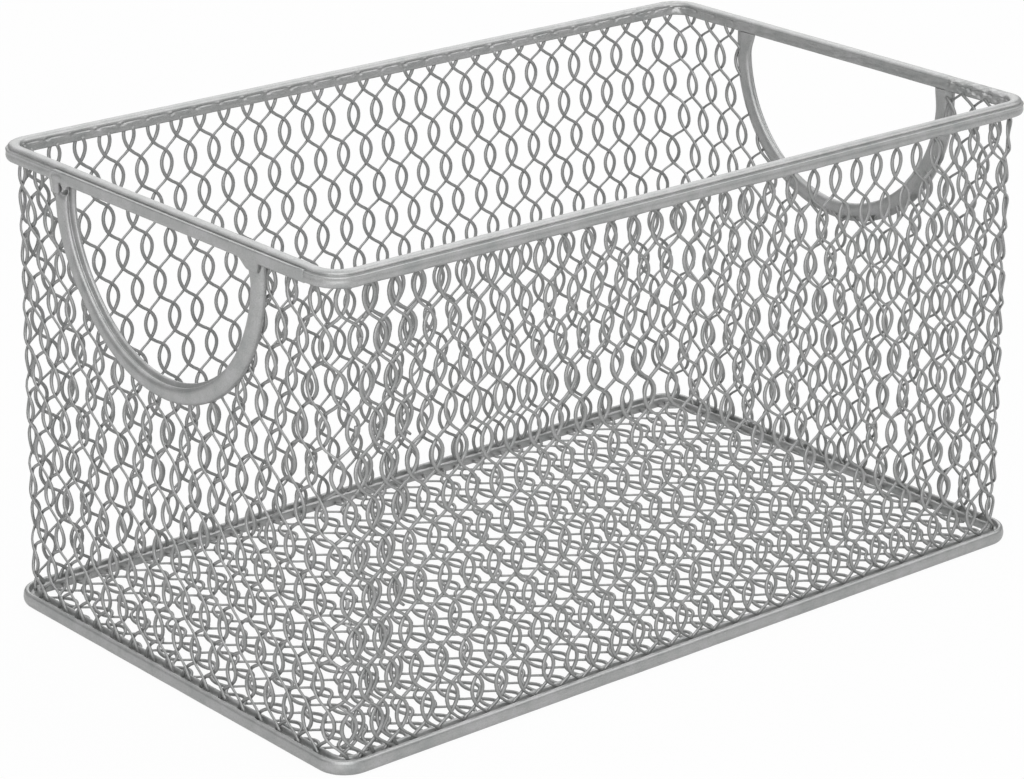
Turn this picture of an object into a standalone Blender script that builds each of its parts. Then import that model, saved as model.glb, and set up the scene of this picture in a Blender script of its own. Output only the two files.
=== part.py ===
"""Mesh storage box: a steel-wire bin with two rolled rims and two trimmed hand holes.

Metres, +Z up. The box stands on z = 0 with its length along X. The near hand hole
is at -X and the far one at +X. The origin is the middle of the footprint.
"""
import math

import bmesh
import bpy
from mathutils import Vector

# Whole box, over the top rim
box_length = 0.280
box_width = 0.1674
box_height = 0.150
corner_radius = 0.0105
corner_steps = 4

# Wire net, and the gap that every seated edge keeps
wire_thickness = 0.0009
seat_gap = 0.0003
net_margin = 0.0024
eyes_round = 26
eye_rows = 3.25
base_eyes_long = 8
base_eye_rows = 3
eye_width_share = 0.42
eye_height_share = 0.72

# The wall strip stands this far inside the top rim, and its ends meet beside a corner
wall_inset = 0.0033
seam_offset = 0.012

# Top rim: a channel rolled over the strip's upper edge
top_rim_height = 0.0051
top_slot_depth = 0.0026
top_lip_thickness = 0.0005
top_roll_height = 0.0018
top_roll_proud = 0.0002
rim_edge_round = 0.0008

# Base rim: a channel that holds the strip's lower edge and the base net's edge
base_overhang = 0.0007
base_rim_height = 0.0047
base_ledge_thickness = 0.0013
base_ledge_reach = 0.0022
base_lip_thickness = 0.0006
base_web_thickness = 0.0005
base_edge_round = 0.0012

# Hand holes: the opening's radius, the short straight above it and the channel round it
handle_radius = 0.044
handle_straight = 0.0039
handle_steps = 20
trim_width = 0.0063
trim_outside = 0.0026
trim_inside = 0.0019
trim_slot_depth = 0.0030
trim_edge_thickness = 0.0004
bulge_steps = 6

# Cutters run past what they cut by this much
overrun = 0.002
weld_distance = 0.00001
least_opening = 0.0018
smooth_angle = math.radians(40)
flat_angle = math.radians(0.1)

STEEL_GREY = (0.345, 0.360, 0.360, 1.0)
STEEL_ROUGHNESS = 0.38
STEEL_METALLIC = 0.55

# Worked out from the sizes above
slot_half = wire_thickness / 2 + seat_gap
wall_half_length = box_length / 2 - wall_inset
wall_half_width = box_width / 2 - wall_inset
wall_radius = corner_radius - wall_inset
base_inset = wall_inset + base_overhang
base_slot_floor = base_ledge_thickness + 2 * slot_half + base_web_thickness
strip_bottom = base_slot_floor + seat_gap
strip_top = box_height - top_rim_height + top_slot_depth - seat_gap
strip_height = strip_top - strip_bottom
handle_centre = box_height - top_rim_height - handle_straight
trim_radius = handle_radius + trim_width
net_handle_radius = trim_radius - trim_slot_depth + seat_gap


def clear_scene():
    """Remove every object that the file opened with."""
    for item in list(bpy.data.objects):
        bpy.data.objects.remove(item, do_unlink=True)


def new_collection(name):
    """Return a new collection under the scene's own."""
    collection = bpy.data.collections.new(name)
    bpy.context.scene.collection.children.link(collection)
    return collection


def painted_steel(name):
    """Return a grey painted steel material."""
    material = bpy.data.materials.new(name)
    material.use_nodes = True
    shader = material.node_tree.nodes["Principled BSDF"]
    shader.inputs["Base Color"].default_value = STEEL_GREY
    shader.inputs["Roughness"].default_value = STEEL_ROUGHNESS
    shader.inputs["Metallic"].default_value = STEEL_METALLIC
    return material


def curve_object(name, loops, dimensions):
    """Return a curve object with one straight-sided closed spline for each loop."""
    curve = bpy.data.curves.new(name, "CURVE")
    curve.dimensions = dimensions
    for loop in loops:
        spline = curve.splines.new("POLY")
        spline.points.add(len(loop) - 1)
        for point, place in zip(spline.points, loop):
            point.co = (*place, 0, 1) if len(place) == 2 else (*place, 1)
        spline.use_cyclic_u = True
    item = bpy.data.objects.new(name, curve)
    bpy.context.scene.collection.objects.link(item)
    return item


def as_mesh_object(source, name):
    """Turn an evaluated object into a plain, welded mesh object and remove the source."""
    depsgraph = bpy.context.evaluated_depsgraph_get()
    mesh = bpy.data.meshes.new_from_object(source.evaluated_get(depsgraph))
    mesh.transform(source.matrix_world)
    mesh.name = name
    edit = bmesh.new()
    edit.from_mesh(mesh)
    bmesh.ops.remove_doubles(edit, verts=edit.verts, dist=weld_distance)
    bmesh.ops.recalc_face_normals(edit, faces=edit.faces)
    edit.to_mesh(mesh)
    edit.free()
    bpy.data.objects.remove(source, do_unlink=True)
    item = bpy.data.objects.new(name, mesh)
    bpy.context.scene.collection.objects.link(item)
    return item


def plate(name, loops, thickness):
    """Return a flat plate in the XY plane; loops inside the first one are holes."""
    item = curve_object(name, loops, "2D")
    item.data.fill_mode = "BOTH"
    item.data.extrude = thickness / 2
    bpy.context.view_layer.update()
    return as_mesh_object(item, name)


def cut(target, cutter, operation):
    """Apply one exact Boolean to the target and remove the cutter."""
    step = target.modifiers.new(operation, "BOOLEAN")
    step.solver = "EXACT"
    step.operation = operation
    step.object = cutter
    bpy.context.view_layer.update()
    result = as_mesh_object(target, target.name)
    bpy.data.objects.remove(cutter, do_unlink=True)
    return result


def sweep(name, path, profile, closed):
    """Sweep a closed profile along a flat path; profile x points to the right of the path."""
    section = curve_object(name + "_section", [profile], "2D")
    rail = curve_object(name, [path], "3D")
    rail.data.splines[0].use_cyclic_u = closed
    rail.data.twist_mode = "Z_UP"
    rail.data.bevel_mode = "OBJECT"
    rail.data.bevel_object = section
    rail.data.use_fill_caps = not closed
    bpy.context.view_layer.update()
    item = as_mesh_object(rail, name)
    bpy.data.objects.remove(section, do_unlink=True)
    return item


def arc(centre, radius, start, end, steps):
    """Points of a circular or elliptical arc; radius is one length or a pair."""
    across, up = radius if isinstance(radius, tuple) else (radius, radius)
    points = []
    for step in range(steps + 1):
        angle = math.radians(start + (end - start) * step / steps)
        points.append((centre[0] + across * math.cos(angle), centre[1] + up * math.sin(angle)))
    return points


def rounded_rectangle(half_length, half_width, radius, steps):
    """Corner points of a rounded rectangle, counter-clockwise from +X."""
    points = []
    for quarter, (sx, sy) in enumerate(((1, 1), (-1, 1), (-1, -1), (1, -1))):
        centre = (sx * (half_length - radius), sy * (half_width - radius))
        points += arc(centre, radius, 90 * quarter, 90 * quarter + 90, steps)
    return points


def inset_loop(loop, distance):
    """Move every side of a counter-clockwise loop inwards by the same distance."""
    points = []
    for index, here in enumerate(loop):
        here = Vector(here)
        before = (here - Vector(loop[index - 1])).normalized()
        after = (Vector(loop[(index + 1) % len(loop)]) - here).normalized()
        side = Vector((-before.y, before.x)) + Vector((-after.y, after.x))
        points.append(tuple(here + side * distance / (1 + before.dot(after))))
    return points


def net_holes(columns, pitch, rows, row_pitch, first_row):
    """Openings of the twisted net: a lens in every eye and a waisted gap between eyes."""
    half_wide = eye_width_share * pitch / 2
    half_high = eye_height_share * row_pitch / 2
    reach = row_pitch - half_high
    eye = [(half_wide, 0), (0, half_high), (-half_wide, 0), (0, -half_high)]
    gap = [(0, -half_high), (pitch / 2, -reach), (pitch, -half_high), (pitch - half_wide, 0),
           (pitch, half_high), (pitch / 2, reach), (0, half_high), (half_wide, 0)]
    holes = []
    for row in range(-1, rows + 1):
        for column in range(-1, columns + 1):
            x = (column + row % 2 / 2) * pitch
            y = first_row + row * row_pitch
            for loop in (eye, gap):
                hole = inset_loop(loop, wire_thickness / 2)
                holes.append([(x + px, y + py) for px, py in hole])
    return holes


def clip_openings(name, openings, window, keep_out):
    """Clip flat loops to a window and round hand holes, and return the loops that are left."""
    cutter = plate(name + "_openings", openings, wire_thickness)
    cutter = cut(cutter, plate(name + "_window", [window], wire_thickness + overrun), "INTERSECT")
    if keep_out:
        blocks = plate(name + "_keep_out", keep_out, wire_thickness + overrun)
        cutter = cut(cutter, blocks, "DIFFERENCE")
    edit = bmesh.new()
    edit.from_mesh(cutter.data)
    bmesh.ops.dissolve_limit(edit, angle_limit=flat_angle, verts=edit.verts, edges=edit.edges)
    tops = [face for face in edit.faces if face.normal.z > 0.5]
    loops = [[tuple(corner.vert.co.xy) for corner in face.loops]
             for face in tops if face.calc_area() > least_opening * least_opening]
    edit.free()
    bpy.data.objects.remove(cutter, do_unlink=True)
    return loops


def wall_folds():
    """Distance along the strip, place and outward direction of its start, folds and end."""
    inner_x = wall_half_length - wall_radius
    inner_y = wall_half_width - wall_radius
    start = Vector((seam_offset - inner_x, -wall_half_width))
    folds = [(0, start, Vector((0, -1)))]
    for quarter, (sx, sy) in enumerate(((1, -1), (1, 1), (-1, 1), (-1, -1))):
        centre = Vector((sx * inner_x, sy * inner_y))
        distance, last, _ = folds[-1]
        turned = arc((0, 0), 1, 90 * quarter - 90, 90 * quarter, corner_steps)
        distance += (centre + Vector(turned[0]) * wall_radius - last).length
        for step, outward in enumerate(turned):
            along = distance + math.pi / 2 * wall_radius * step / corner_steps
            folds.append((along, centre + Vector(outward) * wall_radius, Vector(outward)))
    distance, last, _ = folds[-1]
    folds.append((distance + (start - last).length, start, Vector((0, -1))))
    return folds


def wall_point(folds, distance, offset):
    """Place in plan of a point of the flat strip, on the flat between two folds."""
    index = 1
    while index < len(folds) - 1 and distance > folds[index][0]:
        index += 1
    low, high = folds[index - 1], folds[index]
    share = (distance - low[0]) / (high[0] - low[0])
    return (low[1] + low[2] * offset).lerp(high[1] + high[2] * offset, share)


def handle_outline(centre, radius, top):
    """Outline of a hand hole: a half circle with a short straight leg above each end."""
    across, up = centre
    return ([(across + radius, up + top)] + arc(centre, radius, 0, -180, handle_steps)
            + [(across - radius, up + top)])


def build_wall_net():
    """The wall strip, cut flat and then bent round the four corners."""
    folds = wall_folds()
    whole = folds[-1][0]
    length = whole - seat_gap
    outline = [(0, 0), (length, 0), (length, strip_height), (0, strip_height)]
    window = [(wire_thickness, net_margin), (length - wire_thickness, net_margin),
              (length - wire_thickness, strip_height - net_margin),
              (wire_thickness, strip_height - net_margin)]
    row_pitch = strip_height / eye_rows
    holes = net_holes(eyes_round, whole / eyes_round, math.ceil(eye_rows), row_pitch, row_pitch / 2)
    keep_out = []
    hand_holes = []
    last_fold = corner_steps + 1
    for first in (last_fold, 3 * last_fold):
        middle = (folds[first][0] + folds[first + 1][0]) / 2
        centre = (middle, handle_centre - strip_bottom)
        keep_out.append(handle_outline(centre, net_handle_radius + net_margin, strip_height))
        hand_holes.append(handle_outline(centre, net_handle_radius, handle_straight + seat_gap))
    openings = clip_openings("wall", holes, window, keep_out)
    net = plate("wall_net", [outline] + hand_holes + openings, wire_thickness)
    bend_strip(net, folds)
    return net


def on_crease(edge, creases):
    """Whether an edge of the flat strip lies along one of the fold lines."""
    start, end = (vertex.co.x for vertex in edge.verts)
    level = abs(start - end) < weld_distance
    return level and any(abs(start - crease) < weld_distance for crease in creases)


def is_spare(vertex):
    """Whether a point only sits in the middle of a straight edge."""
    if len(vertex.link_edges) != 2:
        return False
    one, other = (edge.other_vert(vertex).co - vertex.co for edge in vertex.link_edges)
    return one.angle(other) > math.pi - flat_angle


def merge_flats(edit, creases):
    """Merge the flat faces between creases and drop the spare points on their edges."""
    inner = [edge for edge in edit.edges if not on_crease(edge, creases)]
    bmesh.ops.dissolve_limit(edit, angle_limit=flat_angle, verts=[], edges=inner)
    spare = [vertex for vertex in edit.verts if is_spare(vertex)]
    bmesh.ops.dissolve_verts(edit, verts=spare)


def bend_strip(net, folds):
    """Cut the flat strip across at each fold, then wrap it round the box."""
    edit = bmesh.new()
    edit.from_mesh(net.data)
    creases = [distance for distance, _, _ in folds[1:-1]]
    for crease in creases:
        everything = list(edit.verts) + list(edit.edges) + list(edit.faces)
        bmesh.ops.bisect_plane(edit, geom=everything, dist=weld_distance,
                               plane_co=(crease, 0, 0), plane_no=(1, 0, 0))
    merge_flats(edit, creases)
    for vertex in edit.verts:
        place = wall_point(folds, vertex.co.x, vertex.co.z)
        vertex.co = (place.x, place.y, strip_bottom + vertex.co.y)
    bmesh.ops.recalc_face_normals(edit, faces=edit.faces)
    edit.to_mesh(net.data)
    edit.free()


def build_base_net():
    """The base net: its wires run across the box and its edge lies in the base rim."""
    edge = base_inset + slot_half + base_lip_thickness - base_overhang
    half_length = box_length / 2 - edge
    half_width = box_width / 2 - edge
    radius = corner_radius - edge
    outline = rounded_rectangle(half_length, half_width, radius, corner_steps)
    window = rounded_rectangle(half_length - net_margin, half_width - net_margin,
                               radius - net_margin, corner_steps)
    pitch = 2 * half_length / base_eyes_long
    row_pitch = 2 * half_width / base_eye_rows
    holes = net_holes(base_eyes_long, pitch, base_eye_rows, row_pitch, row_pitch / 2 - half_width)
    holes = [[(x - half_length, y) for x, y in hole] for hole in holes]
    openings = clip_openings("base", holes, window, [])
    net = plate("base_net", [outline] + openings, wire_thickness)
    net.location.z = base_ledge_thickness + seat_gap + wire_thickness / 2
    return net


def build_top_rim():
    """The top rim's channel, open downwards where the strip's upper edge goes in."""
    inner = wall_inset + slot_half + top_lip_thickness
    proud = inner + top_roll_proud
    mouth = -top_rim_height
    roof = mouth + top_slot_depth
    crown = (proud / 2, top_roll_height / 2)
    profile = [(rim_edge_round, mouth), (0, mouth + rim_edge_round)]
    profile += arc((crown[0], -top_roll_height), (crown[0], top_roll_height), 180, 0, bulge_steps)
    profile += [(inner, -top_roll_height - top_roll_proud), (inner, mouth)]
    profile += [(wall_inset + slot_half, mouth), (wall_inset + slot_half, roof)]
    profile += [(wall_inset - slot_half, roof), (wall_inset - slot_half, mouth)]
    path = rounded_rectangle(box_length / 2, box_width / 2, corner_radius, corner_steps)
    rim = sweep("top_rim", path[::-1], profile, True)
    rim.location.z = box_height
    return rim


def build_base_rim():
    """The base rim's channel: a slot for the strip above and a ledge for the base net."""
    outer_slot = base_inset - slot_half
    inner_slot = base_inset + slot_half
    inner = inner_slot + base_lip_thickness
    ledge_roof = base_ledge_thickness + 2 * slot_half
    profile = [(base_edge_round, 0)]
    profile += arc((base_edge_round, base_rim_height / 2), (base_edge_round, base_rim_height / 2),
                   -90, -270, bulge_steps)[1:]
    profile += [(outer_slot, base_rim_height), (outer_slot, base_slot_floor)]
    profile += [(inner_slot, base_slot_floor), (inner_slot, base_rim_height)]
    profile += [(inner, base_rim_height), (inner, ledge_roof)]
    profile += [(inner_slot, ledge_roof), (inner_slot, base_ledge_thickness)]
    profile += [(inner + base_ledge_reach, base_ledge_thickness), (inner + base_ledge_reach, 0)]
    path = rounded_rectangle(box_length / 2 + base_overhang, box_width / 2 + base_overhang,
                             corner_radius + base_overhang, corner_steps)
    return sweep("base_rim", path[::-1], profile, True)


def build_trim(name, side):
    """One hand hole's channel, swept down one leg, round the opening and up the other."""
    middle = trim_width / 2
    outer = arc((middle, trim_edge_thickness + slot_half),
                (middle, trim_outside - trim_edge_thickness - slot_half), 0, 180, bulge_steps)
    inner = arc((middle, -trim_edge_thickness - slot_half),
                (middle, trim_inside - trim_edge_thickness - slot_half), 180, 360, bulge_steps)
    slot_floor = trim_width - trim_slot_depth
    profile = [(trim_width, slot_half)] + outer + inner
    profile += [(trim_width, -slot_half), (slot_floor, -slot_half), (slot_floor, slot_half)]
    leg = handle_straight - seat_gap
    path = handle_outline((0, 0), handle_radius, leg)
    trim = sweep(name, path[::-1], profile, False)
    trim.rotation_euler = (math.radians(90), 0, math.radians(90) * side)
    trim.location = (side * wall_half_length, 0, handle_centre)
    return trim


def finish(item, parent, collection):
    """Shade, paint and file one finished part under the box's empty."""
    for other in list(item.users_collection):
        other.objects.unlink(item)
    collection.objects.link(item)
    item.data.materials.clear()
    item.data.materials.append(painted_steel(item.name + "_paint"))
    item.data.shade_smooth()
    item.data.set_sharp_from_angle(angle=smooth_angle)
    item.parent = parent


def main():
    """Build every part of the box."""
    clear_scene()
    collection = new_collection("mesh_storage_box")
    root = bpy.data.objects.new("mesh_storage_box", None)
    collection.objects.link(root)
    parts = [build_top_rim(), build_base_rim(), build_wall_net(), build_base_net(),
             build_trim("near_handle_trim", -1), build_trim("far_handle_trim", 1)]
    for item in parts:
        finish(item, root, collection)


main()
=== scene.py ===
import math

import bpy
import numpy as np
from mathutils import Matrix, Vector


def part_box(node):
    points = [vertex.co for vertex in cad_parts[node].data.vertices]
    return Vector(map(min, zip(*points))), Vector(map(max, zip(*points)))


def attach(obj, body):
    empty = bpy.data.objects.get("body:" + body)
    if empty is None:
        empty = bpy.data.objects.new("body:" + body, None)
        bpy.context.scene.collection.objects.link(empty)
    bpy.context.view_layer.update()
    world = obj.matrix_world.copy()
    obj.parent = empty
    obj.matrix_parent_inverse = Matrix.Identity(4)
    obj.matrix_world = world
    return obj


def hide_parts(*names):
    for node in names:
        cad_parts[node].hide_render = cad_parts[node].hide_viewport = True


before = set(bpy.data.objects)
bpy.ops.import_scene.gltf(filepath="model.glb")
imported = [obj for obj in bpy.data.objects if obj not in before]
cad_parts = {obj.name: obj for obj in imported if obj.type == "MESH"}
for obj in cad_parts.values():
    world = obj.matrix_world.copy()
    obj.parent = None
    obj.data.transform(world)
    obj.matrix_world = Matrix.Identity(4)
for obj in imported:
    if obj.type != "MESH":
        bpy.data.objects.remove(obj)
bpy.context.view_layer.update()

# Metres throughout. +X runs from the near hand hole to the far one, -Y is the front long wall.
mm = 0.001
half_length, half_width, box_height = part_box("top_rim")[1]
half_height = 75 * mm
widest_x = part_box("base_rim")[1][0]
base_half_length = widest_x - 0.4 * mm
base_half_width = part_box("base_rim")[1][1]
trim_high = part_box("near_handle_trim")[1]
corner_radius = 10.5 * mm
base_corner_radius = 10 * mm

# The wire net: pitch between rows, an eye's share of its cell, how steep a wire runs in columns
# to a row where it meets its neighbour and half-way between, and the wire's own sizes, first
# across the net's face and then through it
row_pitch = 12.72 * mm
eye_width_share = 0.425
eye_height_share = 0.72
cross_slope_share = 1.2
diagonal_slope_share = 2.15
steps_per_row = 12
wire_sides = 8
eye_wire = (1.25 * mm, 1.04 * mm)
rising_wire = (1.02 * mm, 0.90 * mm)
falling_wire = (0.82 * mm, 0.74 * mm)
twist_depth = 0.42 * mm
eye_shift_sizes = (0.014, 0.010)

# The wall net stands inside the top rim's outer face and leans in a little towards the top.
# Its columns and rows are counted from the middle of the front wall. It starts some columns
# before the first place in net_fit, ends some before the last, and its end lies further in.
net_inset_top = 4.3 * mm
net_inset_base = 3.0 * mm
net_inset = (net_inset_top + net_inset_base) / 2
net_top = box_height - 3.2 * mm
net_bottom = 2.6 * mm
wall_columns = (-16, 80)
wall_rows = (-7, 7)
start_before = 0.6
end_before = 0.45
seam_layer_gap = 1.0 * mm
seam_start = -130 * mm
seam_ramp = 14 * mm

# Hand holes, each with a round-bottomed opening. The near one's +Y leg leans, and has a pit
# near its top: place across and up, reach across and up, and depth.
handle_radius = 44 * mm
trim_width = trim_high[1] - handle_radius
handle_centre = 141 * mm
wire_end_radius = handle_radius + 0.5 * trim_width
trim_leg_steps = 16
trim_arc_steps = 90
leg_lean = 2.4 * mm
pit_place = (47.6 * mm, 143.8 * mm)
pit_reach = (1.3 * mm, 2.2 * mm)
pit_depth = 3.6 * mm

# The base net: its columns run across the box, skewed and bowed a little
base_columns = (-17, 17)
base_rows = (-8, 7)
base_pitch = 8.57 * mm
base_row_pitch = 12.80 * mm
base_first_column = 4.0 * mm
base_first_row = 1.6 * mm
base_skew_share = -0.045
base_bow = 0.30 / 1000 / mm
base_net_height = 2.3 * mm
base_net_inset = 5.2 * mm

# Marks on the top rim's inner side, one to an eye
mark_pitch = 9.2 * mm
mark_place = -0.1 * mm

# The sheet folded over the near rim's face, from the hand hole's +Y leg to the front corner
fold_start = 52.5 * mm
fold_end = -71 * mm
fold_top = 0.98 * mm
fold_proud = 0.34 * mm
fold_corner = 3.0 * mm
fold_edge_width = 0.4 * mm
fold_end_fade = 7.5 * mm

# Enamelled steel: colour, metallic share, roughness, the grain's scale and the coat's weight
sheet_look = {"grey": 0.37, "metallic": 0.6, "roughness": 0.37, "grain": 2600, "coat": 0.12}
# The wire has the sheet's paint; its grey is set darker than the sheet's as painted shade, for the
# shading on the thin wires
wire_look_painted_darker = {"grey": 0.305, "metallic": 0.6, "roughness": 0.42, "grain": 3200, "coat": 0.12}
coat_roughness = 0.32
mottle_scale = 160
peel_depth = 0.06 * mm

# The studio: how much of white the floor shows to each kind of ray, and for each lamp a name,
# the direction it shines from, its distance, its size and its power
floor_size = 12
floor_drop = 0.2 * mm
floor_grey = 0.68
white_shares = {"Is Camera Ray": 0.96, "Is Glossy Ray": 0.4, "Is Transmission Ray": 0.96}
world_strength = 0.25
lamps = (("front", (-0.60, -0.68, 0.48), 1.4, 1.5, 14),
         ("key", (0.62, -0.35, 0.71), 1.4, 1.2, 5),
         ("back", (0.55, 0.75, 0.45), 1.6, 1.3, 6),
         ("overhead", (0, 0.1, 1), 1.4, 3.0, 23))

# The camera, found from the rims' edges in the photograph: its place, its yaw and pitch in
# degrees, its roll in radians, lengths in pixels of the frame, and the sensor's width in mm
camera_place = (-0.6981, -0.8204, 0.4607)
camera_yaw = 41.11
camera_pitch = 20.39
camera_roll = -0.0096
focal_length = 3635.4
frame_centre = (568.5, 392.5)
frame_size = (1024, 779)
sensor_width = 36


def hermite(share, low, high, low_slope, high_slope):
    """Cubic between two values with given slopes, share from 0 to 1."""
    square, cube = share ** 2, share ** 3
    return (low * (2 * cube - 3 * square + 1) + low_slope * (cube - 2 * square + share)
            + high * (3 * square - 2 * cube) + high_slope * (cube - square))


def smooth_step(value, low, high):
    """From 0 at low to 1 at high, level at both ends."""
    share = np.clip((value - low) / (high - low), 0, 1)
    return share * share * (3 - 2 * share)


def bell(value, width):
    """From 1 at a value of 0 to nearly 0 at twice the width on either side."""
    return np.exp(-(value / width) ** 2)


def smooth_through(places, stations, values):
    """Values at places, on a smooth curve through the stations' values."""
    stations, values = np.asarray(stations), np.asarray(values)
    slopes = np.gradient(values, stations)
    index = np.clip(np.searchsorted(stations, places) - 1, 0, len(stations) - 2)
    span = stations[index + 1] - stations[index]
    share = (places - stations[index]) / span
    return hermite(share, values[index], values[index + 1], slopes[index] * span,
                   slopes[index + 1] * span)


def ripple(points, length, seed):
    """A smooth, seeded unevenness from -1 to 1 whose bumps are about one length across."""
    random = np.random.default_rng(seed)
    waves = random.normal(0, 1, (3, 9)) * math.pi / length
    return np.sin(points @ waves + random.uniform(0, 2 * math.pi, 9)).mean(axis=-1) * 1.6


def rounded_path(half_x, half_y, radius, straight_step, corner_steps):
    """Points and outward directions of a closed rounded rectangle, counter-clockwise."""
    points, outwards = [], []
    corners = ((1, -1), (1, 1), (-1, 1), (-1, -1))
    inner = np.array((half_x - radius, half_y - radius))
    for quarter, signs in enumerate(corners):
        centre = np.array(signs) * inner
        for step in range(corner_steps + 1):
            angle = math.radians(-90 + 90 * quarter + 90 * step / corner_steps)
            outward = np.array((math.cos(angle), math.sin(angle)))
            points.append(centre + outward * radius)
            outwards.append(outward)
        start = points[-1]
        end = np.array(corners[(quarter + 1) % 4]) * inner + outwards[-1] * radius
        count = max(1, round(np.linalg.norm(end - start) / straight_step))
        for step in range(1, count):
            points.append(start + (end - start) * step / count)
            outwards.append(outwards[-1])
    return np.array(points), np.array(outwards)


def mesh_piece(name, vertices, faces, material, slot, *nodes):
    """A smooth mesh object that rides on the box and stands for some of its nodes."""
    mesh = bpy.data.meshes.new(name)
    mesh.from_pydata(np.asarray(vertices).tolist(), [], faces)
    mesh.validate()
    mesh.materials.append(material)
    mesh.shade_smooth()
    piece = bpy.data.objects.new(name, mesh)
    bpy.context.scene.collection.objects.link(piece)
    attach(piece, "root")
    if nodes:
        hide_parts(*nodes)


def ring_faces(rings, sides, closed, first=0):
    """Faces that join rings of vertices into a tube, with flat ends where it is open."""
    faces = []
    for ring in range(rings if closed else rings - 1):
        here = first + ring * sides
        there = first + (ring + 1) % rings * sides
        for side in range(sides):
            after = (side + 1) % sides
            faces.append((here + side, here + after, there + after, there + side))
    if not closed:
        last = first + (rings - 1) * sides
        faces.append(tuple(first + side for side in reversed(range(sides))))
        faces.append(tuple(last + side for side in range(sides)))
    return faces


def sheet_piece(name, rings, closed, material, *nodes):
    """A piece of rolled sheet, from rings of vertices."""
    faces = ring_faces(rings.shape[0], rings.shape[1], closed)
    mesh_piece(name, rings.reshape(-1, 3), faces, material, "rolled_sheet", *nodes)


def arc_points(centre, radii, start, end, steps):
    """Points of an elliptical arc, angles in degrees."""
    return [(centre[0] + radii[0] * math.cos(angle), centre[1] + radii[1] * math.sin(angle))
            for angle in np.radians(np.linspace(start, end, steps + 1))]


def noise_node(nodes, links, place, scale, detail, roughness=0.5):
    """A noise texture on an object's own coordinates."""
    noise = nodes.new("ShaderNodeTexNoise")
    noise.inputs["Scale"].default_value = scale
    noise.inputs["Detail"].default_value = detail
    noise.inputs["Roughness"].default_value = roughness
    links.new(place.outputs["Object"], noise.inputs["Vector"])
    return noise


def ramp_node(nodes, links, source, stops):
    """A colour ramp through (position, colour) stops."""
    ramp = nodes.new("ShaderNodeValToRGB")
    elements = ramp.color_ramp.elements
    elements[0].position, elements[0].color = stops[0][0], (*stops[0][1], 1)
    elements[1].position, elements[1].color = stops[-1][0], (*stops[-1][1], 1)
    for position, colour in stops[1:-1]:
        elements.new(position).color = (*colour, 1)
    links.new(source, ramp.inputs["Fac"])
    return ramp


def speckled_tone(nodes, links, place, mottle, grey, grain):
    """The enamel's colour: a mottled grey with specks in it."""
    tone = ramp_node(nodes, links, mottle.outputs["Fac"],
                     [(0.32, (grey * 0.86, grey * 0.885, grey * 0.88)),
                      (0.5, (grey, grey * 1.01, grey)),
                      (0.68, (grey * 1.12, grey * 1.12, grey * 1.13))])
    speck = noise_node(nodes, links, place, grain, 2)
    spots = ramp_node(nodes, links, speck.outputs["Fac"],
                      [(0.22, (0.5, 0.5, 0.5)), (0.30, (1, 1, 1)), (0.78, (1.25, 1.25, 1.25))])
    speckled = nodes.new("ShaderNodeMix")
    speckled.data_type = "RGBA"
    speckled.blend_type = "MULTIPLY"
    speckled.inputs["Factor"].default_value = 1
    links.new(tone.outputs["Color"], speckled.inputs["A"])
    links.new(spots.outputs["Color"], speckled.inputs["B"])
    return speckled.outputs["Result"]


def painted_steel(name, grey, metallic, roughness, grain, coat):
    """Silver-grey enamel on steel, mottled and speckled, with orange peel."""
    material = bpy.data.materials.new(name)
    material.use_nodes = True
    nodes, links = material.node_tree.nodes, material.node_tree.links
    shader = nodes["Principled BSDF"]
    shader.inputs["Metallic"].default_value = metallic
    shader.inputs["Coat Weight"].default_value = coat
    shader.inputs["Coat Roughness"].default_value = coat_roughness
    place = nodes.new("ShaderNodeTexCoord")
    mottle = noise_node(nodes, links, place, mottle_scale, 5, 0.6)
    links.new(speckled_tone(nodes, links, place, mottle, grey, grain), shader.inputs["Base Color"])
    gloss = nodes.new("ShaderNodeMapRange")
    gloss.inputs["To Min"].default_value = roughness - 0.08
    gloss.inputs["To Max"].default_value = roughness + 0.10
    links.new(mottle.outputs["Fac"], gloss.inputs["Value"])
    links.new(gloss.outputs["Result"], shader.inputs["Roughness"])
    peel = noise_node(nodes, links, place, grain / 2.2, 3)
    bump = nodes.new("ShaderNodeBump")
    bump.inputs["Strength"].default_value = 0.35
    bump.inputs["Distance"].default_value = peel_depth
    links.new(peel.outputs["Fac"], bump.inputs["Height"])
    links.new(bump.outputs["Normal"], shader.inputs["Normal"])
    return material


def top_rim_section():
    """Section of the top rim, (inset, up from the top): lower edge, face, shoulder, groove,
    roll, inner flange with its step."""
    face = [(1.5, -4.70), (1.05, -4.95), (0.72, -4.92), (0.40, -4.72), (0.18, -4.40), (0.06, -4.0),
            (0.0, -3.5), (0.03, -3.1), (0.09, -2.75), (0.16, -2.45), (0.13, -2.2), (0.04, -1.98),
            (0.0, -1.78), (0.05, -1.58), (0.24, -1.43), (0.52, -1.37), (0.8, -1.3), (0.96, -1.17),
            (0.88, -1.02), (0.76, -0.92), (0.7, -0.8)]
    roll = arc_points((2.5, -0.8), (1.76, 0.8), 172, 90, 9)
    roll += arc_points((2.7, -1.15), (1.78, 1.15), 90, 4, 11)
    flange = [(4.48, -1.3), (4.46, -1.45), (4.47, -1.6), (4.50, -1.75), (4.52, -1.95),
              (4.52, -2.15), (4.52, -2.35), (4.53, -2.55), (4.57, -2.75), (4.63, -2.95),
              (4.68, -3.2), (4.70, -3.6), (4.70, -4.0), (4.62, -4.3), (4.42, -4.45), (4.2, -4.35)]
    return [(inset * mm, up * mm) for inset, up in face + roll + flange]


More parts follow.
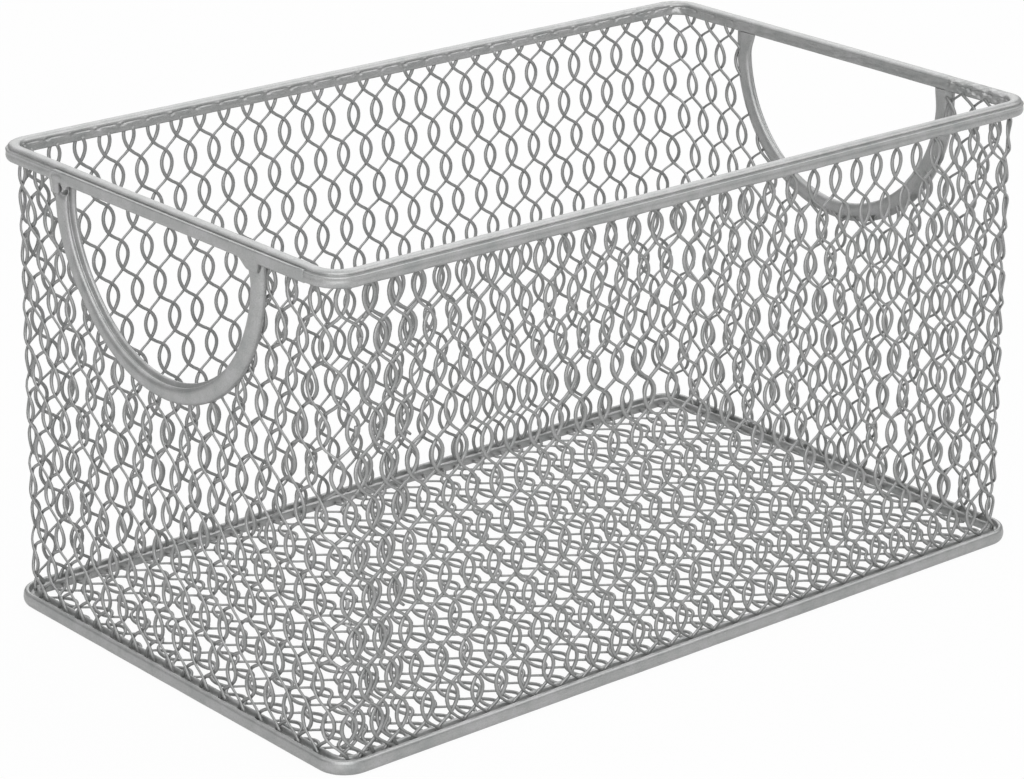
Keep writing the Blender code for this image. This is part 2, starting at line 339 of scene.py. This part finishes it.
def base_rim_section():
    """Section of the base rim, (inset, up): round face, shoulder, the slot that the wall net
    stands in, inner flange, tucked underside."""
    face = arc_points((1.3, 2.15), (1.3, 2.15), -90, -210, 12)
    top = [(0.2, 3.55), (0.32, 3.95), (0.55, 4.3), (0.88, 4.54), (1.25, 4.62), (1.6, 4.56),
           (1.86, 4.34), (1.98, 4.0), (2.04, 3.4), (2.16, 2.95), (2.6, 2.75), (3.4, 2.72),
           (3.95, 2.85), (4.14, 3.25), (4.22, 3.8), (4.4, 4.18), (4.72, 4.4), (5.08, 4.4),
           (5.36, 4.2), (5.46, 3.85)]
    under = [(5.48, 3.2), (5.48, 2.4), (5.4, 1.75), (5.15, 1.32), (4.5, 0.92), (3.7, 0.5),
             (3.1, 0.16), (2.7, 0.0)]
    return [(inset * mm, up * mm) for inset, up in face + top + under]


def sweep_ring(path, outwards, section, height):
    """Rings of vertices of a closed section of (inset, up) points, swept round a closed path."""
    section = np.array(section)
    flat = path[:, None, :] - outwards[:, None, :] * section[None, :, 0, None]
    up = np.broadcast_to(height + section[None, :, 1, None], (len(path), len(section), 1))
    return np.concatenate((flat, up), axis=2)


def press_net_marks(rings, outwards, section):
    """Crease the top rim's inner flange, and raise a bead with a pit beside it over each eye."""
    inset, up = np.array(section).T
    on_flange = ((inset > 4.4 * mm) & (up < -1.1 * mm) & (up > -3.5 * mm))[None, :]
    on_long_wall = np.abs(outwards[:, 1]) > 0.5
    over_net = np.where(on_long_wall, 1, smooth_step(np.abs(rings[:, 0, 1]), 47 * mm, 52 * mm))
    along = np.where(on_long_wall, rings[:, 0, 0], rings[:, 0, 1])
    beside = (along - mark_place) / mark_pitch % 1 * mark_pitch - mark_pitch / 2
    level = -1.62 * mm + 0.12 * mm * ripple(rings[:, 0, :], 15 * mm, 21)
    flat_share = 0.45 + 0.55 * smooth_step(np.abs(beside), 0.8 * mm, 2.0 * mm)
    own = 1 + 0.4 * ripple(rings[:, 0, :], 9 * mm, 22)
    rise = up[None, :] - level[:, None]
    near_bead = bell(beside, 0.75 * mm) * own
    bead = near_bead[:, None] * bell(rise - 0.2 * mm, 0.36 * mm)
    near_pit = bell(beside - 1.3 * mm, 0.6 * mm) * own
    pit = near_pit[:, None] * bell(rise + 0.35 * mm, 0.34 * mm)
    specks = ripple(rings, 1.5 * mm, 23) * smooth_step(-up, 1.6 * mm, 2.1 * mm)[None, :]
    crease = bell(rise, 0.24 * mm) * flat_share[:, None]
    proud = (0.7 * bead - 0.8 * pit - 0.3 * crease) * over_net[:, None] + 0.2 * specks
    rings[:, :, :2] -= outwards[:, None, :] * (mm * proud * on_flange)[:, :, None]


def hammer_corner(rings, outwards, section):
    """Dent the far rim beside its front corner, where it was beaten shut over the hand hole."""
    inset, up = np.array(section).T
    x, y = rings[:, :, 0], rings[:, :, 1]
    region = (smooth_step(x, half_length - 9 * mm, half_length - 5 * mm)
              * smooth_step(-y, 47 * mm, 50 * mm) * (1 - smooth_step(-y, 72 * mm, 77 * mm)))
    back_corner = (smooth_step(x, 95 * mm, 125 * mm)
                   * smooth_step(y, half_width - 7 * mm, half_width))
    region = np.maximum(region, 0.8 * back_corner)
    open_side = smooth_step(inset, 1.2 * mm, 2.6 * mm)[None, :] * (up > -4.2 * mm)[None, :]
    dents = ripple(rings, 2.1 * mm, 31) * region * open_side
    rings[:, :, 2] -= 0.75 * mm * np.clip(dents + 0.1 * region, 0, 0.6)
    rings[:, :, :2] += outwards[:, None, :] * (0.75 * mm * np.clip(dents, -0.5, 0.5))[:, :, None]


def draw_in(rings, outwards, waves):
    """Let a rim's surface wander inwards, by waves of (size, length, seed)."""
    wave = sum(size * (1 + ripple(rings, length, seed)) for size, length, seed in waves)
    rings[:, :, :2] -= outwards[:, None, :] * np.maximum(wave, 0)[:, :, None]


def build_top_rim(material):
    """The rolled rim over the net's upper edge."""
    path, outwards = rounded_path(half_length, half_width, corner_radius,
                                  straight_step=0.68 * mm, corner_steps=20)
    section = top_rim_section()
    rings = sweep_ring(path, outwards, section, box_height)
    press_net_marks(rings, outwards, section)
    hammer_corner(rings, outwards, section)
    draw_in(rings, outwards, ((0.09 * mm, 26 * mm, 11), (0.03 * mm, 6 * mm, 12)))
    low = np.array(section)[:, 1] < -4.3 * mm
    rings[:, low, 2] += 0.16 * mm * (1 + ripple(rings[:, low], 18 * mm, 13))
    sheet_piece("top_rim_rolled", rings, True, material, "top_rim")


def build_base_rim(material):
    """The rolled rim that the box stands on."""
    path, outwards = rounded_path(base_half_length, base_half_width, base_corner_radius,
                                  straight_step=1.6 * mm, corner_steps=18)
    section = base_rim_section()
    rings = sweep_ring(path, outwards, section, 0)
    draw_in(rings, outwards, ((0.07 * mm, 30 * mm, 14), (0.03 * mm, 7 * mm, 15)))
    flange = (np.array(section)[:, 0] > 2.3 * mm) & (np.array(section)[:, 1] > 4.0 * mm)
    rings[:, flange, 2] -= 0.12 * mm * (1 + ripple(rings[:, flange], 8 * mm, 16))
    sheet_piece("base_rim_rolled", rings, True, material, "base_rim")


def trim_section():
    """Section of a hand hole's channel, (away from the opening, out of the wall): the rounded
    outer face, a groove that faces the opening, the bright inner lip and the inner face."""
    outer = [(6.3, 0.1), (6.3, 0.6), (6.12, 1.25), (5.65, 1.8), (4.9, 2.22), (4.0, 2.46),
             (3.1, 2.55), (2.2, 2.46), (1.55, 2.14), (1.1, 1.74), (0.96, 1.38), (1.16, 1.1)]
    groove = [(1.5, 0.88), (1.62, 0.6), (1.3, 0.4), (0.7, 0.2), (0.2, -0.02), (0.0, -0.34)]
    inner = [(0.0, -0.62), (0.14, -0.98), (0.5, -1.34), (1.05, -1.58), (1.8, -1.72), (2.7, -1.74),
             (3.5, -1.62), (4.15, -1.38), (4.55, -1.02), (4.7, -0.6)]
    return np.array([(away * mm, out * mm) for away, out in outer + groove + inner])


def trim_path(top):
    """Path of a hand hole's channel: how far each ring faces across and up, and its height."""
    leg = np.linspace(top, handle_centre, trim_leg_steps + 1)[:-1]
    still = np.zeros(trim_leg_steps)
    angles = np.radians(np.linspace(0, -180, trim_arc_steps + 1))
    across = np.concatenate((still + 1, np.cos(angles), still - 1))
    up = np.concatenate((still, np.sin(angles), still))
    height = np.concatenate((leg, np.full(len(angles), handle_centre), leg[::-1]))
    return across, up, height


def trim_rings(side, flares):
    """Rings of a hand hole's channel, down one leg, round the opening and up the other.

    flares are how far each leg's edge spreads into the opening where it meets the top rim,
    first at +Y and then at -Y.
    """
    top = trim_high[2] + 0.9 * mm
    across, up, height = trim_path(top)
    section = trim_section()
    away, out = section[None, :, 0], section[None, :, 1]
    rise = height + handle_radius * up
    spread = smooth_step(rise, top - 9 * mm, top) ** 1.5 * np.where(across > 0, *flares)
    away = away - spread[:, None] * (1 - away / trim_width)
    lean = smooth_step(rise, top - 35 * mm, top - 9 * mm)
    lean *= np.where((across > 0) & (side < 0), leg_lean, 0)
    reach = handle_radius + away + lean[:, None] * (0.5 + 0.5 * away / trim_width)
    middle = half_length - net_inset_top + 1.0 * mm
    x = side * (middle + np.broadcast_to(out, reach.shape))
    rings = np.stack((x, across[:, None] * reach, height[:, None] + up[:, None] * reach), axis=-1)
    wave = 1 + 0.05 * ripple(rings, 17 * mm, 41 + side)
    rings[:, :, 0] = side * middle + (rings[:, :, 0] - side * middle) * np.clip(wave, 0.9, 1)
    if side < 0:
        pit = np.exp(-((rings[:, :, 1] - pit_place[0]) / pit_reach[0]) ** 4
                     - ((rings[:, :, 2] - pit_place[1]) / pit_reach[1]) ** 4)
        rings[:, :, 0] += pit_depth * pit * (out > 1.0 * mm)
    return rings


def fold_edges(y, into):
    """Upper and lower edge of the fold, up from the box's top; it runs down over both legs."""
    round_off = fold_corner - np.minimum(into, fold_corner)
    top = -fold_top - (fold_corner - np.sqrt(fold_corner ** 2 - round_off ** 2))
    left_leg = 1 - smooth_step(into, 3.2 * mm, 4.4 * mm)
    left_web = smooth_step(into, 5.6 * mm, 6.3 * mm) * (1 - smooth_step(into, 7.4 * mm, 9.4 * mm))
    right_leg = (smooth_step(-y, 39.5 * mm, 45 * mm) ** 2
                 * (1 - smooth_step(-y, 49.6 * mm, 50.3 * mm)))
    bottom = (-4.86 - 3.9 * left_leg - 1.6 * left_web - 2.9 * right_leg) * mm
    return top[:, None], bottom[:, None]


def fold_relief(y, into, up, from_edge):
    """How proud of the rim the fold stands, with a lip and a trough round its +Y end."""
    end_fade = (smooth_step(into, -0.05 * mm, 0.3 * mm)
                * smooth_step(y - fold_end, -0.05 * mm, fold_end_fade))[:, None]
    proud = fold_proud * np.sqrt(np.clip(1 - (1 - from_edge) ** 2, 0, 1)) * end_fade
    corner_up = np.maximum(up + fold_top + fold_corner, 0)
    inside = fold_corner - np.hypot(np.maximum(fold_corner - into, 0)[:, None], corner_up)
    near_end = np.minimum(from_edge, end_fade) * (1 - smooth_step(into, 5 * mm, 9 * mm))[:, None]
    lip = bell(inside - 0.4 * mm, 0.3 * mm)
    trough = bell(inside - 1.15 * mm, 0.35 * mm)
    return proud + (0.32 * lip - 0.3 * trough) * mm * near_end


def fold_rings():
    """Rings of the sheet folded over the near rim's face, from its +Y end."""
    y = np.concatenate((np.linspace(fold_start, fold_start - 4 * mm, 26),
                        np.linspace(fold_start - 4.3 * mm, fold_end, 210)))
    into = fold_start - y
    top, bottom = fold_edges(y, into)
    shares = np.concatenate(([0, 0.015, 0.045, 0.09], np.linspace(0.16, 0.84, 12),
                             [0.91, 0.955, 0.985, 1]))
    up = top + (bottom - top) * shares[None, :]
    from_edge = np.minimum(np.minimum(top - up, up - bottom) / fold_edge_width, 1)
    settle = (0.55 * smooth_step(-up, 3.7 * mm, 4.9 * mm)
              + 0.45 * smooth_step(-up, 5 * mm, 8.6 * mm))
    wave = 0.06 * mm * ripple(np.stack((y, 0 * y, 0 * y), axis=1), 11 * mm, 61)[:, None]
    outer = (half_length - 0.8 * mm * settle + fold_relief(y, into, up, from_edge)
             + wave * from_edge)
    outer = np.minimum(outer, widest_x - 0.02 * mm)
    inner = np.broadcast_to(half_length - 1.5 * mm, up.shape)
    reach = np.concatenate((outer, inner[:, ::-1]), axis=1)
    height = box_height + np.concatenate((up, up[:, ::-1]), axis=1)
    return np.stack((-reach, np.broadcast_to(y[:, None], reach.shape), height), axis=-1)


def strip_runs():
    """Lengths of the wall net's straights and corners, from the middle of the front wall."""
    arc = (corner_radius - net_inset) * math.pi / 2
    run_x, run_y = half_length - corner_radius, half_width - corner_radius
    return np.array((run_x, arc, 2 * run_y, arc, 2 * run_x, arc, 2 * run_y, arc, run_x))


strip_ends = np.cumsum(strip_runs())
round_length = strip_ends[-1]


def strip_place(along, height, depth):
    """Places on the wall net's surface, and its outward directions.

    along is measured round the box from the middle of the front wall, first towards +X.
    """
    radius = corner_radius - net_inset
    inner = np.array((half_length - corner_radius, half_width - corner_radius))
    signs = np.array(((0, -1), (1, -1), (1, -1), (1, 1), (1, 1), (-1, 1), (-1, 1), (-1, -1),
                      (-1, -1)))
    turns = np.radians((-90, -90, 0, 0, 90, 90, 180, 180, 270))
    runs = strip_runs()
    along = np.mod(along, round_length)
    index = np.clip(np.searchsorted(strip_ends, along), 0, len(runs) - 1)
    into = along - (strip_ends[index] - runs[index])
    is_arc = index % 2 == 1
    angle = turns[index] + np.where(is_arc, into / radius, 0)
    outward = np.stack((np.cos(angle), np.sin(angle)), axis=-1)
    onward = np.stack((-outward[..., 1], outward[..., 0]), axis=-1)
    inset = net_inset_base + (net_inset_top - net_inset_base) * height / box_height
    reach = corner_radius - inset + depth
    flat = (signs[index] * inner + outward * reach[..., None]
            + onward * np.where(is_arc, 0, into)[..., None])
    return np.concatenate((flat, height[..., None]), axis=-1), outward


# How the net lies on the walls, at places in mm along each wall from its middle: the column of
# eyes there at half height, how many pairs of rows it is lifted, and how its columns lean
# forward. The walls come in the strip's order: front, far, back, near, and the front again.
wall_middles = (0, (strip_ends[1] + strip_ends[2]) / 2, (strip_ends[3] + strip_ends[4]) / 2,
                (strip_ends[5] + strip_ends[6]) / 2, round_length)
net_fit = ((0, -126, -14.23, 0.063, 0.070),
           (0, -63, -7.22, -0.02, 0.044),
           (0, 0, -0.18, 0, 0.045),
           (0, 63, 6.66, 0, 0.033),
           (0, 126, 13.78, 0, 0.021),
           (1, 0, 22.86, -0.09, 0.045),
           (2, -126, 32.02, -0.15, 0.070),
           (2, -63, 38.50, -0.14, 0.056),
           (2, 0, 45.11, -0.17, 0.044),
           (2, 63, 51.86, -0.23, 0.032),
           (2, 126, 58.73, -0.34, 0.019),
           (3, -70, 60.49, -0.33, 0.004),
           (3, 0, 67.69, -0.32, 0.022),
           (3, 70, 75.21, -0.43, 0.040),
           (4, -126, 77.02, -0.42, 0.055),
           (4, -106, 79.22, -0.43, 0.066))
net_stations = [wall_middles[wall] + place * mm for wall, place, *_ in net_fit]
net_columns = [column for _, _, column, *_ in net_fit]
net_lift = [2 * row_pitch * lift for *_, lift, _ in net_fit]
net_lean_shares = [lean for *_, lean in net_fit]


def wall_lattice(column, row):
    """Place on the strip, along and up, of a place in the net's columns and rows."""
    along = smooth_through(column, net_columns, net_stations)
    height = half_height + row_pitch * row + smooth_through(along, net_stations, net_lift)
    lean = smooth_through(along, net_stations, net_lean_shares)
    return along + lean * (height - half_height), height


def eye_curve(share):
    """Sideways place of a wire, in columns, for its distance from the eye's middle in rows."""
    half_wide = eye_width_share / 2
    half_high = eye_height_share / 2
    rest = 0.5 - half_high
    distance = np.abs(share)
    side = hermite(np.clip(distance / half_high, 0, 1), half_wide, 0, 0,
                   -cross_slope_share * half_high)
    diagonal = hermite(np.clip((distance - half_high) / rest, 0, 1), 0, -0.25,
                       -cross_slope_share * rest, -diagonal_slope_share * rest)
    return np.where(distance <= half_high, side, diagonal)


class Net:
    """Wires of a twisted net: each passes from eye to eye, between two neighbouring columns.

    columns and rows are the first and the last, handed is 1 or -1 for the twist's direction.
    """

    def __init__(self, columns, rows, handed, seed):
        self.columns, self.rows, self.handed = columns, rows, handed
        random = np.random.default_rng(seed)
        self.low_row, self.low_column = rows[0] - 2, columns[0] - 2
        shape = (rows[1] - rows[0] + 5, 2 * (columns[1] - columns[0]) + 12, 2)
        self.shifts = random.normal(0, 1, shape) * np.array(eye_shift_sizes)

    def eye_shift(self, column, row):
        """Each eye's own small shift from its regular place."""
        across = np.rint(2 * (column - self.low_column)).astype(int)
        return self.shifts[row - self.low_row, across]

    def wires(self):
        """Each wire's columns, rows and depths, how near each point is to an eye's middle, and
        whether the wire rises along the strip there."""
        rows = np.arange(self.rows[0], self.rows[1] + 1)
        shares = (np.arange(steps_per_row) + 0.5) / steps_per_row - 0.5
        row = np.repeat(rows, steps_per_row)
        share = np.tile(shares, len(rows))
        for column in range(self.columns[0], self.columns[1] + 1):
            for side in (1, -1):
                yield self.wire(column, side, row, share)

    def wire(self, column, side, row, share):
        """One wire, whose eyes stand in a column on even rows and half a column aside on odd."""
        odd = row % 2 == 1
        facing = np.where(odd, -side, side)
        eye = column - np.where(odd, side * 0.5, 0)
        neighbour = np.sign(share)
        next_eye = column - np.where((row + neighbour) % 2 == 1, side * 0.5, 0)
        half_high = eye_height_share / 2
        blend = np.clip((np.abs(share) - half_high) / (0.5 - half_high), 0, 1)[:, None] / 2
        shift = (self.eye_shift(eye, row) * (1 - blend)
                 + self.eye_shift(next_eye, (row + neighbour).astype(int)) * blend)
        across = eye + facing * eye_curve(share) + shift[:, 0]
        up = row + share + shift[:, 1]
        turn = np.sin(np.clip(share / half_high, -1, 1) * math.pi / 2)
        depth = self.handed * facing * turn * twist_depth
        nearness = 1 - smooth_step(np.abs(share), 0.6 * half_high, 1.25 * half_high)
        return across, up, depth, nearness, facing * neighbour < 0


def wire_tube(points, outward, nearness, rising):
    """Rings of a flattened wire along points; it is stouter at the sides of an eye, and
    between eyes it is thinner where it falls along the strip than where it rises."""
    along = np.gradient(points, axis=0)
    along /= np.linalg.norm(along, axis=1, keepdims=True)
    across = np.cross(outward, along)
    across /= np.linalg.norm(across, axis=1, keepdims=True)
    face = np.cross(along, across)
    between = np.where(rising[:, None], rising_wire, falling_wire)
    wide, thick = (between + (np.array(eye_wire) - between) * nearness[:, None]).T
    turn = np.arange(wire_sides) * 2 * math.pi / wire_sides
    flat = across[:, None, :] * (np.cos(turn)[None, :, None] * wide[:, None, None] / 2)
    proud = face[:, None, :] * (np.sin(turn)[None, :, None] * thick[:, None, None] / 2)
    return (points[:, None, :] + flat + proud).reshape(-1, 3)


def runs_of(keep):
    """Start and end of each unbroken stretch of points to keep."""
    edges = np.flatnonzero(np.diff(np.concatenate(([0], keep.astype(int), [0]))))
    return [(start, end) for start, end in zip(edges[::2], edges[1::2]) if end - start > 2]


def wire_piece(name, tubes, material, node):
    """One object of many wires."""
    vertices, faces, first = [], [], 0
    for tube in tubes:
        faces += ring_faces(len(tube) // wire_sides, wire_sides, False, first)
        vertices.append(tube)
        first += len(tube)
    mesh_piece(name, np.concatenate(vertices), faces, material, "net_wire", node)


def clear_of_hand_holes(place):
    """True where a place isn't inside either hand hole's channel."""
    drop = np.minimum(place[:, 2] - handle_centre, 0)
    inside = np.hypot(place[:, 1], drop) < wire_end_radius
    return ~(inside & (np.abs(place[:, 0]) > half_length - 2 * net_inset_top))


def build_wall_net(material):
    """The wall strip's wires, in one piece for each stretch of the strip."""
    net = Net(wall_columns, wall_rows, handed=1, seed=3)
    stretches = {"wall_net_front": [], "wall_net_far": [], "wall_net_back": [],
                 "wall_net_near": []}
    limits = strip_ends[[1, 3, 5]]
    start_column, end_column = net_columns[0] - start_before, net_columns[-1] - end_before
    for across, up, depth, nearness, rising in net.wires():
        inside = (across > start_column) & (across < end_column)
        along, height = wall_lattice(np.clip(across, start_column, end_column), up)
        over = smooth_step(along - round_length, seam_start - seam_ramp, seam_start)
        place, outward = strip_place(along, height, depth - seam_layer_gap * over)
        outward = np.concatenate((outward, np.zeros((len(outward), 1))), axis=1)
        keep = inside & (height > net_bottom) & (height < net_top) & clear_of_hand_holes(place)
        stretch = list(stretches)[int(np.searchsorted(limits, np.median(along)))]
        for start, end in runs_of(keep):
            stretches[stretch].append(wire_tube(place[start:end], outward[start:end],
                                                nearness[start:end], rising[start:end]))
    for name, tubes in stretches.items():
        wire_piece(name, tubes, material, "wall_net")


def base_place(column, row):
    """Place on the base of a place in the base net's columns and rows."""
    y = base_first_row + base_row_pitch * row
    bow = base_bow * y * y
    x = base_first_column + base_pitch * column + base_skew_share * y + bow
    return x, y + bow


def build_base_net(material):
    """The base net's wires."""
    net = Net(base_columns, base_rows, handed=-1, seed=5)
    tubes = []
    edge_x, edge_y = base_half_length - base_net_inset, base_half_width - base_net_inset
    edge_radius = base_corner_radius - base_net_inset
    for across, up, depth, nearness, rising in net.wires():
        x, y = base_place(across, up)
        beyond = np.hypot(np.maximum(np.abs(x) - edge_x + edge_radius, 0),
                          np.maximum(np.abs(y) - edge_y + edge_radius, 0))
        place = np.stack((x, y, base_net_height + depth), axis=1)
        outward = np.tile((0.0, 0.0, 1.0), (len(x), 1))
        for start, end in runs_of(beyond < edge_radius):
            tubes.append(wire_tube(place[start:end], outward[start:end], nearness[start:end],
                                   rising[start:end]))
    wire_piece("base_net_wires", tubes, material, "base_net")


def shown_as_white(nodes, links, own, shares, output):
    """Mix white over a material's own shading, with a share for each kind of ray."""
    white = nodes.new("ShaderNodeEmission")
    white.inputs["Strength"].default_value = 1
    rays = nodes.new("ShaderNodeLightPath")
    shown = None
    for kind, weight in shares.items():
        share = nodes.new("ShaderNodeMath")
        share.operation = "MULTIPLY"
        share.inputs[1].default_value = weight
        links.new(rays.outputs[kind], share.inputs[0])
        if shown:
            either = nodes.new("ShaderNodeMath")
            either.operation = "MAXIMUM"
            links.new(shown, either.inputs[0])
            links.new(share.outputs["Value"], either.inputs[1])
            share = either
        shown = share.outputs["Value"]
    mix = nodes.new("ShaderNodeMixShader")
    links.new(shown, mix.inputs["Fac"])
    links.new(own, mix.inputs[1])
    links.new(white.outputs["Emission"], mix.inputs[2])
    links.new(mix.outputs["Shader"], output.inputs["Surface"])


def build_floor():
    """A plain white floor that keeps the box's soft shadow."""
    bpy.ops.mesh.primitive_plane_add(size=floor_size, location=(0, 0, -floor_drop))
    floor = bpy.context.active_object
    floor.name = "floor"
    material = bpy.data.materials.new("floor_white")
    material.use_nodes = True
    nodes, links = material.node_tree.nodes, material.node_tree.links
    shader = nodes["Principled BSDF"]
    shader.inputs["Base Color"].default_value = (floor_grey, floor_grey, floor_grey, 1)
    shader.inputs["Roughness"].default_value = 0.9
    shader.inputs["Specular IOR Level"].default_value = 0
    shown_as_white(nodes, links, shader.outputs["BSDF"], white_shares, nodes["Material Output"])
    floor.data.materials.append(material)


def build_world():
    """Soft surroundings."""
    world = bpy.data.worlds.new("studio")
    bpy.context.scene.world = world
    world.use_nodes = True
    soft = world.node_tree.nodes["Background"]
    soft.inputs["Color"].default_value = (1, 1, 1, 1)
    soft.inputs["Strength"].default_value = world_strength


def soft_lamp(name, direction, distance, size, power):
    """A soft square lamp that faces the box from a direction."""
    lamp = bpy.data.lights.new(name, "AREA")
    lamp.size = size
    lamp.energy = power
    item = bpy.data.objects.new(name, lamp)
    bpy.context.scene.collection.objects.link(item)
    towards = Vector(direction).normalized()
    item.location = Vector((0, 0, half_height)) + towards * distance
    item.rotation_euler = towards.to_track_quat("Z", "Y").to_euler()


def build_camera():
    """The photograph's viewpoint."""
    yaw, pitch = math.radians(camera_yaw), math.radians(camera_pitch)
    forward = Vector((math.cos(pitch) * math.sin(yaw), math.cos(pitch) * math.cos(yaw),
                      -math.sin(pitch)))
    level = Vector((math.cos(yaw), -math.sin(yaw), 0))
    plumb = forward.cross(level)
    right = level * math.cos(camera_roll) + plumb * math.sin(camera_roll)
    down = plumb * math.cos(camera_roll) - level * math.sin(camera_roll)
    frame_width, frame_height = frame_size
    data = bpy.data.cameras.new("camera")
    data.sensor_width = sensor_width
    data.lens = focal_length / frame_width * sensor_width
    data.shift_x = (frame_width / 2 - frame_centre[0]) / frame_width
    data.shift_y = (frame_centre[1] - frame_height / 2) / frame_width
    data.clip_start = 0.01
    data.clip_end = 20
    camera = bpy.data.objects.new("camera", data)
    bpy.context.scene.collection.objects.link(camera)
    turn = Matrix((right, -down, -forward)).transposed()
    camera.matrix_world = Matrix.Translation(camera_place) @ turn.to_4x4()
    bpy.context.scene.camera = camera


def main():
    """Dress the box and set the studio."""
    sheet = painted_steel("silver_grey_sheet", **sheet_look)
    # The wire's enamel is the sheet's, made darker as painted shade
    wire = painted_steel("silver_grey_wire", **wire_look_painted_darker)
    build_top_rim(sheet)
    build_base_rim(sheet)
    near_rings = trim_rings(side=-1, flares=(0.6 * mm, 2.2 * mm))
    sheet_piece("near_handle_channel", near_rings, False, sheet, "near_handle_trim")
    sheet_piece("near_rim_fold", fold_rings(), False, sheet)
    far_rings = trim_rings(side=1, flares=(2.2 * mm, 0.8 * mm))
    sheet_piece("far_handle_channel", far_rings, False, sheet, "far_handle_trim")
    build_wall_net(wire)
    build_base_net(wire)
    build_floor()
    build_world()
    for lamp in lamps:
        soft_lamp(*lamp)
    build_camera()
    bpy.context.scene.view_settings.view_transform = "Standard"


main()
